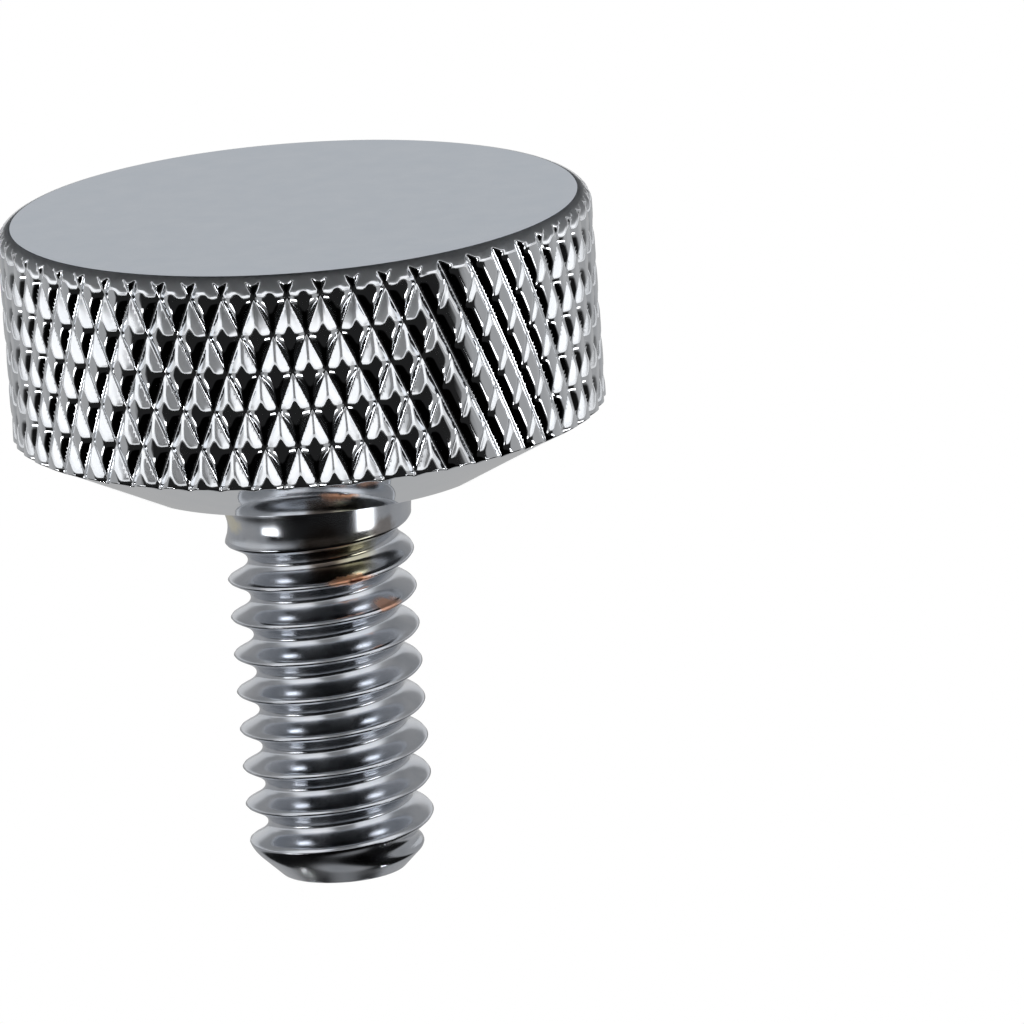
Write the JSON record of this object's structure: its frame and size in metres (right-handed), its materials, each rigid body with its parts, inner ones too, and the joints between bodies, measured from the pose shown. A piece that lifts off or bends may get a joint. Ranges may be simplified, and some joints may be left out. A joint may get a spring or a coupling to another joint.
{
  "type": "seat knob bolt",
  "caption": "Round knurled knob with a flat face and a short threaded stud, turned as one piece and chrome plated, for clamping a seat bracket by hand.",
  "frame": {"origin": "centre of the knob's flat face, on which the bolt stands", "axes": "+Z along the axis, from the knob's flat face towards the tip of the stud"},
  "size_m": [0.0194, 0.0194, 0.0223],
  "materials": {
    "chrome_plate": "polished"
  },
  "bodies": {
    "root": {"knob_bolt": "chrome_plate"}
  },
  "joints": []
}
